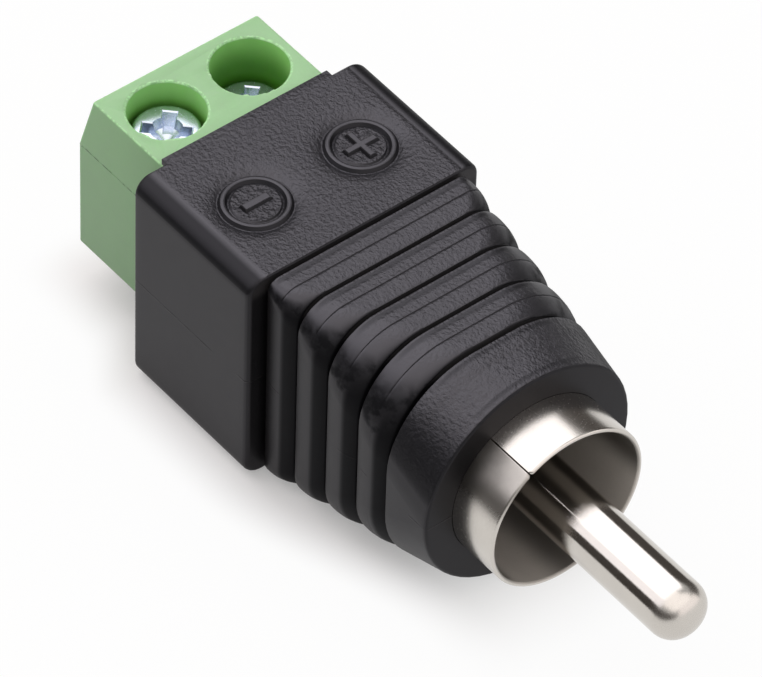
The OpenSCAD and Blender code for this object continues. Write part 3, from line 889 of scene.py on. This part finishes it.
class MakeClamps(bpy.types.Operator):
    """Build the clamp bodies and wire guards with eased edges"""

    bl_idname = "phono.make_clamps"
    bl_label = "Clamps and guards"

    def execute(self, context):
        tinned = plated("tinned_sheet", context.scene.phono_plug.tin, 0.34, (1, 1, 1), 0.4)
        zinc = plated("zinc_sheet", context.scene.phono_screw.colour, 0.3, (1, 1, 1), 0.35)
        for pole in POLES:
            for kind, body, finish, slot in (
                ("clamp_body_", "plug", tinned, "tinned_steel"),
                ("wire_guard_", "guard_" + pole, zinc, "zinc_steel"),
            ):
                piece = solid_copy("bent_" + kind + pole, kind + pole)
                round_edges(piece, 0.05, 2)
                settle(piece, finish, body, slot, kind + pole, smooth=40)
        return {"FINISHED"}


class MakePin(bpy.types.Operator):
    """Build the turned centre pin with its round tip"""

    bl_idname = "phono.make_pin"
    bl_label = "Centre pin"

    def execute(self, context):
        s = in_mm(context.scene.phono_plug)
        tail, collar, neck, shaft = (size / 2 for size in (s.tail, s.collar, s.neck, s.pin))
        rows = [(s.tail_back, 0.02), (s.tail_back, tail - 0.15), (s.tail_back + 0.15, tail)]
        rows += [(s.collar_back, tail), (s.collar_back, collar - 0.1), (s.collar_back + 0.1, collar)]
        rows += [(s.shell_back - 0.1, collar), (s.shell_back, collar - 0.1), (s.shell_back, neck)]
        rows += [(s.neck_front, neck), (s.neck_front, shaft - 0.1), (s.neck_front + 0.1, shaft)]
        dome, blunt = shaft * 0.89, 0.87
        straight = s.pin_tip - dome
        rows += [(x, shaft) for x in np.linspace(s.neck_front + 0.3, straight, 12)]
        rows += [
            (straight + dome * math.sin(a) ** blunt, shaft * math.cos(a) ** blunt)
            for a in np.linspace(0, math.pi / 2 - 0.02, 28)[1:]
        ]
        piece = turned("turned_pin", rows, 96, middle=(0, 0, AXIS_Z))
        nickel = plated("nickel_plate", s.nickel, 0.04, (5, 1, 1), 0.3, rubbed=REAR + s.pin_tip - shaft)
        settle(piece, nickel, "plug", "nickel", "center_pin", smooth=35)
        return {"FINISHED"}


class MakeShell(bpy.types.Operator):
    """Build the rolled ground shell with its seam, rounded rim and solder tab"""

    bl_idname = "phono.make_shell"
    bl_label = "Ground shell"

    def execute(self, context):
        s = in_mm(context.scene.phono_plug)
        outer, wall, back = s.shell / 2, s.shell_wall, s.shell_back
        inner, bead, soft = outer - wall, wall / 2, 0.03
        rim = s.shell_rim - bead
        along = (16, 20, 21.6, 23, rim)
        outline = [(back + soft, inner), (back, inner + soft), (back, outer - soft), (back + soft, outer)]
        outline += [(x, outer) for x in along]
        outline += [
            (rim + bead * math.sin(a), inner + bead + bead * math.cos(a))
            for a in np.linspace(0, math.pi, 10)[1:-1]
        ]
        outline += [(x, inner) for x in reversed(along)]

        def rolled(rows, angle, nick=0.0):
            """An outline's ring at an angle round the plug, with its rim cut back by a nick."""
            return [
                (x - nick * (x > s.shell_rim - wall), r * math.cos(angle), AXIS_Z + r * math.sin(angle))
                for x, r in rows
            ]

        arc, clear = 2 * math.pi - s.seam / outer, 0.35 / outer
        near = np.array([0, 0.03, 0.07, 0.13, 0.2]) / outer
        places = np.concatenate([near, np.linspace(clear, arc - clear, 128), arc - near[::-1]])
        first = s.seam_place + s.seam / 2 / outer
        piece = skin("rolled_shell", [
            rolled(outline, first + place, 0.1 * max(0, 1 - min(place, arc - place) * outer / 0.16) ** 2)
            for place in places
        ])
        half = math.asin(s.tab_width / 2 / outer)
        ends, faces = (back - s.tab, back + 0.5), (inner + 0.005, outer - 0.005)
        tab = [(ends[0], faces[0]), (ends[0], faces[1]), (ends[1], faces[1]), (ends[1], faces[0])]
        angles = np.linspace(math.pi - half, math.pi + half, 12)
        carve(piece, "UNION", skin("tab", [rolled(tab, angle) for angle in angles]))
        nickel = plated("nickel_sheet", s.nickel, 0.17, (1, 1, 1), 0.3, s)
        settle(piece, nickel, "plug", "nickel", "ground_shell", smooth=35)
        return {"FINISHED"}


class MakeInsulator(bpy.types.Operator):
    """Build the insulating bush between the pin and the shell"""

    bl_idname = "phono.make_insulator"
    bl_label = "Insulator"

    def execute(self, context):
        piece = solid_copy("insulating_bush", "insulator")
        round_edges(piece, 0.08, 2, 50)
        settle(piece, matt_bush(context.scene.phono_plug), "plug", "insulator_plastic", "insulator")
        return {"FINISHED"}


class SetStage(bpy.types.Operator):
    """Set up the floor, the lights and the camera"""

    bl_idname = "phono.set_stage"
    bl_label = "Stage"

    def execute(self, context):
        scene = context.scene
        s = scene.phono_stage
        scene.view_settings.view_transform = "Standard"
        self.light(scene, s)
        self.lay_floor(s)
        self.aim_camera(scene, s)
        return {"FINISHED"}

    def light(self, scene, s):
        """Hangs the soft box with its cards and sets the even sky."""
        lamp = bpy.data.lights.new("key", "AREA")
        lamp.shape, lamp.size, lamp.size_y = "RECTANGLE", s.key_width, s.key_length
        lamp.energy = math.pi * s.key_level * s.key_width * s.key_length
        lamp.color = s.key_tint
        key = bpy.data.objects.new("key", lamp)
        away = Vector(s.key_from).normalized()
        across = Vector((0, -away.z, away.y)).normalized()
        axes = Matrix((across.cross(away), across, away)).transposed().to_4x4()
        middle = Vector(s.aim) + away * s.key_distance
        key.matrix_world = Matrix.Translation(middle - across * s.key_shift) @ axes
        self.hang_cards(s, middle, across, across.cross(away))
        key.visible_camera = False
        scene.collection.objects.link(key)
        world = bpy.data.worlds.new("soft_sky")
        scene.world = world
        world.use_nodes = True
        world.node_tree.nodes["Background"].inputs["Color"].default_value = (*s.sky, 1)

    def lay_floor(self, s):
        """Lays paper that shows its shading close to the plug and is plain white further out."""
        size, level = 1.5, -0.0001
        floor = sheet("floor", [(sx * size, sy * size, level) for sx, sy in CORNERS])
        finish = Finish("pale_floor")
        seen = finish.node("ShaderNodeLightPath", out="Is Camera Ray")
        rays = seen.socket.node.outputs
        for name in ("Is Glossy Ray", "Is Transmission Ray"):
            seen = seen.most(Wire(finish, rays[name]))
        white = finish.node("ShaderNodeEmission", None, {"Color": (1, 1, 1, 1), "Strength": 1.0})
        paper, lit = (
            finish.node("ShaderNodeBsdfDiffuse", None, {"Color": (*colour, 1)})
            for colour in (s.paper, s.floor)
        )
        x, y, _ = finish.parts(finish.place())
        rear, nose = HOUSING_LOW.x, HOUSING_HIGH.x
        half = 5 + x.ramp(rear - 3, rear + 1) * 2 - x.ramp(rear + 9, nose + 1) * 3.2
        near = 1 - (abs(y) - half).ramp(-0.6, 3)
        near = near * (1 - x.ramp(nose - 6, nose + 6)) * (x - BLOCK_LOW.x).ramp(-3, 0.6)
        pale = finish.blend(0.05 + near * 0.67, white, paper)
        floor.data.materials.append(finish.show(finish.blend(seen, lit, pale)))

    def hang_cards(self, s, middle, across, along):
        """Hangs white cards that carry on the soft box, and dark flags, all for reflections only."""
        near = middle + across * (s.key_length / 2 - s.key_shift)
        half, reach = along * s.key_width / 2, across * s.key_shift * 2
        bright = [near - half, near + half, near + half + reach, near - half + reach]
        roof = [(-0.08, -0.7), (1.2, -0.7), (1.2, 0.9), (0.25, 0.5), (0.1, 0.12), (-0.08, 0.12)]
        wall = [(-0.1, 0.0003), (0.16, 0.0003), (0.16, 0.028), (-0.1, 0.028)]
        roof_height, wall_side, warm = 0.53, -0.05, (1.0, 0.9, 0.84)
        self.card(sheet("bright_card", bright), s.key_level, s.key_tint)
        self.card(self.patch("front_card", -12, 65, -2, 30), 1.4, (1.0, 0.95, 0.95))
        self.card(sheet("high_card", [(x, y, roof_height) for x, y in roof]), 1.6, (1.0, 0.96, 0.95))
        self.card(self.patch("far_flag", 70, 170, 3, 38), 0.09, warm)
        self.card(sheet("near_flag", [(x, wall_side, z) for x, z in wall]), 0.07, warm)

    def patch(self, name, first, last, low, high):
        """Part of a dome of one metre between two azimuths, from the pin's side, and two elevations."""
        steps = 12
        points = [
            (math.cos(up) * math.cos(around), math.cos(up) * math.sin(around), math.sin(up))
            for up in np.radians(np.linspace(low, high, steps))
            for around in np.radians(np.linspace(first, last, steps))
        ]
        faces = [
            (row + j, row + j + 1, row + j + 1 + steps, row + j + steps)
            for row in range(0, steps * (steps - 1), steps)
            for j in range(steps - 1)
        ]
        return new_piece(name, points, faces)

    def card(self, card, level, colour):
        """Makes a piece glow evenly and show only in reflections."""
        finish = Finish(card.name)
        glow = finish.node("ShaderNodeEmission", None, {"Color": (*colour, 1), "Strength": level})
        card.data.materials.append(finish.show(glow))
        for ray in ("camera", "diffuse", "shadow", "transmission", "volume_scatter"):
            setattr(card, "visible_" + ray, False)

    def aim_camera(self, scene, s):
        """Puts the camera at its distance from the point that it looks at."""
        lens = bpy.data.cameras.new("camera")
        lens.lens, lens.sensor_width, lens.sensor_fit = s.lens, 36, "HORIZONTAL"
        lens.clip_start, lens.clip_end = 0.01, 10
        look = Vector((
            -math.sin(s.azimuth) * math.cos(s.elevation),
            math.cos(s.azimuth) * math.cos(s.elevation),
            -math.sin(s.elevation),
        ))
        level = Vector((math.cos(s.azimuth), math.sin(s.azimuth), 0))
        right = level * math.cos(s.roll) + level.cross(look) * math.sin(s.roll)
        axes = Matrix((right, right.cross(look), -look)).transposed().to_4x4()
        camera = bpy.data.objects.new("camera", lens)
        camera.matrix_world = Matrix.Translation(Vector(s.aim) - look * s.distance) @ axes
        scene.collection.objects.link(camera)
        scene.camera = camera


GROUPS = {
    "phono_housing": HousingSizes,
    "phono_block": BlockSizes,
    "phono_screw": ScrewSizes,
    "phono_plug": PlugSizes,
    "phono_stage": StageSettings,
}
OPERATORS = (
    MakeHousing, MakeBlock, MakeScrews, MakeClamps, MakePin, MakeShell, MakeInsulator, SetStage,
)


class PhonoPanel(bpy.types.Panel):
    """Lists the plug's pieces and its stage"""

    bl_idname = "VIEW3D_PT_phono_plug"
    bl_label = "Phono plug"
    bl_space_type = "VIEW_3D"
    bl_region_type = "UI"
    bl_category = "Phono plug"

    def draw(self, context):
        for operator in OPERATORS:
            self.layout.operator(operator.bl_idname)
        for name, group in GROUPS.items():
            box = self.layout.box()
            box.label(text=group.__doc__)
            for key in group.__annotations__:
                box.prop(getattr(context.scene, name), key)


def register():
    for made in (*GROUPS.values(), *OPERATORS, PhonoPanel):
        bpy.utils.register_class(made)
    for name, group in GROUPS.items():
        setattr(bpy.types.Scene, name, PointerProperty(type=group))


def unregister():
    for name in GROUPS:
        delattr(bpy.types.Scene, name)
    for made in (PhonoPanel, *reversed(OPERATORS), *reversed(GROUPS.values())):
        bpy.utils.unregister_class(made)


def main():
    register()
    for operator in OPERATORS:
        group, name = operator.bl_idname.split(".")
        getattr(getattr(bpy.ops, group), name)()


if __name__ == "__main__":
    main()
